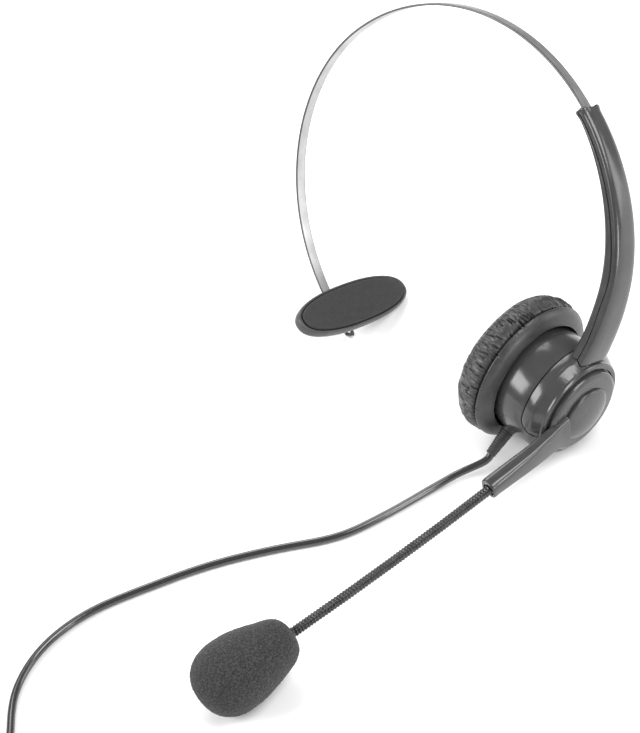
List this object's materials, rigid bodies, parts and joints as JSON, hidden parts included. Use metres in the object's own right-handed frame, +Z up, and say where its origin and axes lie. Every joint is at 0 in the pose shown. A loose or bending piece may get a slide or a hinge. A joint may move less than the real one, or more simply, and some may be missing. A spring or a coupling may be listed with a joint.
{
  "type": "office headset",
  "caption": "One-ear office headset: steel headband with temple pad, padded ear cup, swivelling gooseneck boom with foam windscreen, and a coiled cord that ends in a small modular plug.",
  "frame": {"origin": "centre of the footprint of the headset without its cord, on the table it lies on", "axes": "+Z up from the table, +X the way the boom points along the table, +Y from the temple pad towards the ear cup"},
  "size_m": [0.3371, 0.2123, 0.1485],
  "materials": {
    "gloss_black": "glossy black plastic",
    "satin_black": "satin black plastic",
    "leatherette": "soft black leatherette over foam, creased at the outside",
    "temple_pad": "smooth matte dark grey pad",
    "foam": "open-cell black foam",
    "black_rubber": "matte black rubber",
    "black_cloth": "woven black cloth",
    "band_steel": "bright spring steel",
    "black_steel": "blackened steel",
    "gooseneck_steel": "black-nickelled spiral wound steel",
    "magnet_steel": "plain steel",
    "copper_wire": "enamelled copper wire",
    "speaker_film": "thin plastic film",
    "circuit_board": "green circuit board",
    "cord_jacket": "glossy black cord jacket",
    "clear_plastic": "clear polycarbonate",
    "gold_contact": "gold-plated contact"
  },
  "bodies": {
    "headset": {"ear_cushion": "leatherette", "speaker_baffle": "satin_black", "grille_cloth": "black_cloth", "speaker_frame": "satin_black", "speaker_magnet": "magnet_steel", "voice_coil": "copper_wire", "speaker_diaphragm": "speaker_film", "terminal_board": "circuit_board", "ear_housing": "gloss_black", "swivel_collar": "gloss_black", "arm_shell": "gloss_black", "arm_cover": "gloss_black", "arm_screw_upper": "black_steel", "arm_screw_lower": "black_steel", "detent_spring": "band_steel", "hub_axle": "band_steel", "friction_washer": "band_steel", "retaining_clip": "band_steel", "strain_relief": "black_rubber", "cord": "cord_jacket", "cord_coil": "cord_jacket", "coil_tie": "black_cloth", "cord_tail": "cord_jacket", "plug_body": "clear_plastic", "plug_contact_1": "gold_contact", "plug_contact_2": "gold_contact", "plug_contact_3": "gold_contact", "plug_contact_4": "gold_contact"},
    "headband": {"headband_spring": "band_steel", "temple_bracket": "black_steel", "temple_pin": "band_steel", "temple_rivet": "band_steel"},
    "temple_pad": {"temple_shell": "satin_black", "temple_plate": "band_steel", "temple_cushion": "temple_pad"},
    "boom": {"boom_hub": "gloss_black", "hub_cap": "gloss_black", "gooseneck_1": "gooseneck_steel"},
    "neck_2": {"gooseneck_2": "gooseneck_steel"},
    "neck_3": {"gooseneck_3": "gooseneck_steel"},
    "microphone": {"gooseneck_4": "gooseneck_steel", "mic_housing": "satin_black", "mic_capsule": "band_steel", "windscreen": "foam"},
    "latch": {"plug_latch": "clear_plastic"}
  },
  "joints": [
    {"name": "headband_adjust", "type": "hinge", "parent": "headset", "child": "headband", "pos_m": [-0.08159, -0.00293, 0.06523], "axis": [0.8961, 0, 0.4438], "range_deg": [-10, 13]},
    {"name": "temple_tilt", "type": "hinge", "parent": "headband", "child": "temple_pad", "pos_m": [-0.05595, -0.04766, 0.01344], "axis": [0.8961, 0, 0.4438], "range_deg": [-15, 15]},
    {"name": "boom_swivel", "type": "hinge", "parent": "headset", "child": "boom", "pos_m": [-0.06224, 0.08559, 0.02616], "axis": [0.0658, 0.989, -0.1328], "range_deg": [-93, 207]},
    {"name": "neck_bend_1", "type": "hinge", "parent": "boom", "child": "neck_2", "pos_m": [0.01227, 0.07762, 0.02075], "axis": [-0.1068, -0.7891, -0.6049], "range_deg": [-10, 15]},
    {"name": "neck_bend_2", "type": "hinge", "parent": "neck_2", "child": "neck_3", "pos_m": [0.03561, 0.07404, 0.0192], "axis": [-0.1068, -0.7891, -0.6049], "range_deg": [-10, 15]},
    {"name": "neck_bend_3", "type": "hinge", "parent": "neck_3", "child": "microphone", "pos_m": [0.05894, 0.07013, 0.01769], "axis": [-0.1068, -0.7891, -0.6049], "range_deg": [-10, 15]},
    {"name": "latch_press", "type": "hinge", "parent": "headset", "child": "latch", "pos_m": [0.18473, 0.11997, 0.0064], "axis": [0.8572, 0.515, 0], "range_deg": [0, 12], "stiffness_Nm_per_rad": 0.05}
  ],
  "couplings": [
    {"joint": "neck_bend_2", "follows": "neck_bend_1", "ratio": 1},
    {"joint": "neck_bend_3", "follows": "neck_bend_1", "ratio": 1}
  ]
}
